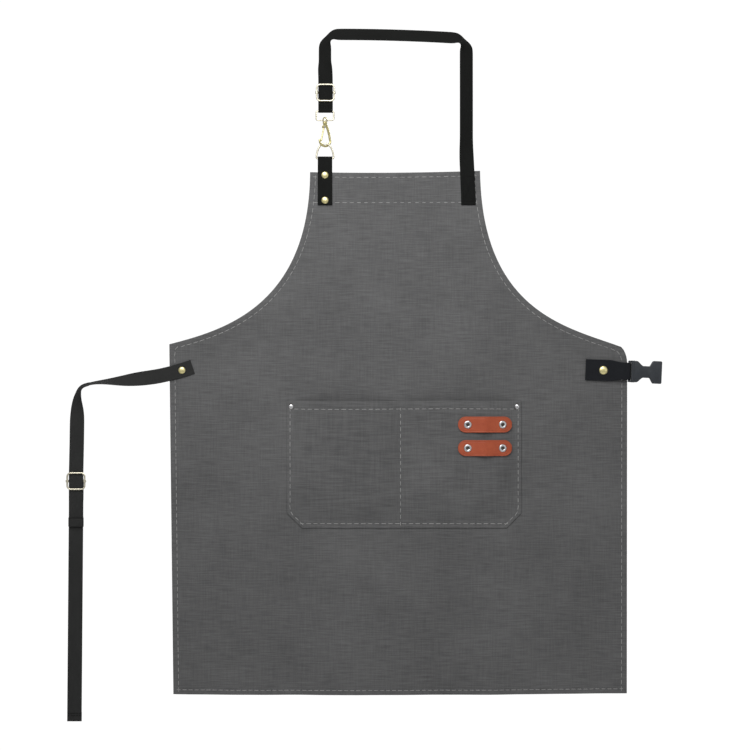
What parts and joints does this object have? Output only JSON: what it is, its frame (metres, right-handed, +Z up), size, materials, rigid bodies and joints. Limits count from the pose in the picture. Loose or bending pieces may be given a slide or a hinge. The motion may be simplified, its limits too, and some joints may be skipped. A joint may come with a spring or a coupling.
{
  "type": "bib apron",
  "caption": "Bib apron with a neck strap on a swivel snap hook, two-compartment pocket, leather tool loops, slider-adjusted waist strap and a buckle socket on a webbing tab.",
  "frame": {"origin": "where the apron hangs: the underside of the neck strap's top run, in the middle of the neck loop", "axes": "+Z up, -Y the apron's front, +X towards the buckle"},
  "size_m": [0.8002, 0.0226, 0.9316],
  "materials": {
    "canvas": "grey woven canvas",
    "webbing": "near-black ribbed webbing",
    "leather": "reddish brown, satin",
    "nickel_rivet": "nickel plate",
    "brass_rivet": "pale brass, polished",
    "gold_hardware": "pale gold plate, polished",
    "steel_pin": "plain steel",
    "buckle_plastic": "charcoal, satin"
  },
  "bodies": {
    "apron": {"apron_panel": "canvas", "pocket_panel": "canvas", "tool_loop_upper": "leather", "tool_loop_lower": "leather", "neck_tab": "webbing", "neck_strap": "webbing", "neck_strap_return": "webbing", "loop_rivet_upper_left": "nickel_rivet", "loop_rivet_upper_left_back": "nickel_rivet", "loop_rivet_upper_right": "nickel_rivet", "loop_rivet_upper_right_back": "nickel_rivet", "loop_rivet_lower_left": "nickel_rivet", "loop_rivet_lower_left_back": "nickel_rivet", "loop_rivet_lower_right": "nickel_rivet", "loop_rivet_lower_right_back": "nickel_rivet", "pocket_rivet_left": "nickel_rivet", "pocket_rivet_left_back": "nickel_rivet", "pocket_rivet_right": "nickel_rivet", "pocket_rivet_right_back": "nickel_rivet", "neck_rivet_upper": "brass_rivet", "neck_rivet_upper_back": "brass_rivet", "neck_rivet_lower": "brass_rivet", "neck_rivet_lower_back": "brass_rivet", "waist_rivet": "brass_rivet", "waist_rivet_back": "brass_rivet", "buckle_rivet": "brass_rivet", "buckle_rivet_back": "brass_rivet"},
    "neck_slider": {"neck_slider_frame": "gold_hardware", "neck_slider_bar": "gold_hardware"},
    "swivel": {"swivel_eye": "gold_hardware"},
    "hook": {"hook_body": "gold_hardware", "gate_pin": "steel_pin", "gate_spring": "steel_pin"},
    "gate": {"hook_gate": "gold_hardware"},
    "ring": {"d_ring": "gold_hardware"},
    "waist": {"waist_strap": "webbing"},
    "waist_slider": {"waist_slider_frame": "gold_hardware", "waist_slider_bar": "gold_hardware", "waist_strap_lower": "webbing"},
    "tab": {"buckle_tab": "webbing"},
    "buckle": {"buckle_socket": "buckle_plastic"}
  },
  "joints": [
    {"name": "neck_slide", "type": "slide", "parent": "apron", "child": "neck_slider", "axis": [0, 0, 1], "range_m": [-0.004, 0.012], "deforming": ["neck_strap_return"]},
    {"name": "eye_swing", "type": "hinge", "parent": "apron", "child": "swivel", "pos_m": [-0.0942, 0.0005, -0.0952], "axis": [1, 0, 0], "range_deg": [-4.5, 4.5]},
    {"name": "ring_swing", "type": "hinge", "parent": "apron", "child": "ring", "pos_m": [-0.0942, 0.0005, -0.1589], "axis": [1, 0, 0], "range_deg": [-11, 11]},
    {"name": "hook_swivel", "type": "hinge", "parent": "swivel", "child": "hook", "pos_m": [-0.0942, 0.0005, -0.1076], "axis": [0, 0, 1], "range_deg": [0, 105]},
    {"name": "gate_swing", "type": "hinge", "parent": "hook", "child": "gate", "pos_m": [-0.09576, -0.00059, -0.1167], "axis": [0.5736, -0.8192, 0], "range_deg": [0, 25], "stiffness_Nm_per_rad": 0.01, "springref_deg": -17.19},
    {"name": "waist_turn", "type": "hinge", "parent": "apron", "child": "waist", "pos_m": [-0.2863, -0.0014, -0.4436], "axis": [0, 1, 0], "range_deg": [-8, 8]},
    {"name": "waist_slide", "type": "slide", "parent": "waist", "child": "waist_slider", "axis": [0, 0, 1], "range_m": [-0.03, 0.035]},
    {"name": "tab_turn", "type": "hinge", "parent": "apron", "child": "tab", "pos_m": [0.2797, -0.0014, -0.4436], "axis": [0, 1, 0], "range_deg": [-10, 10]},
    {"name": "buckle_swing", "type": "hinge", "parent": "tab", "child": "buckle", "pos_m": [0.314, -0.0038, -0.4436], "axis": [0, 0, 1], "range_deg": [-60, 60]}
  ],
  "couplings": [
    {"joint": "ring_swing", "follows": "eye_swing", "ratio": -2.37}
  ]
}
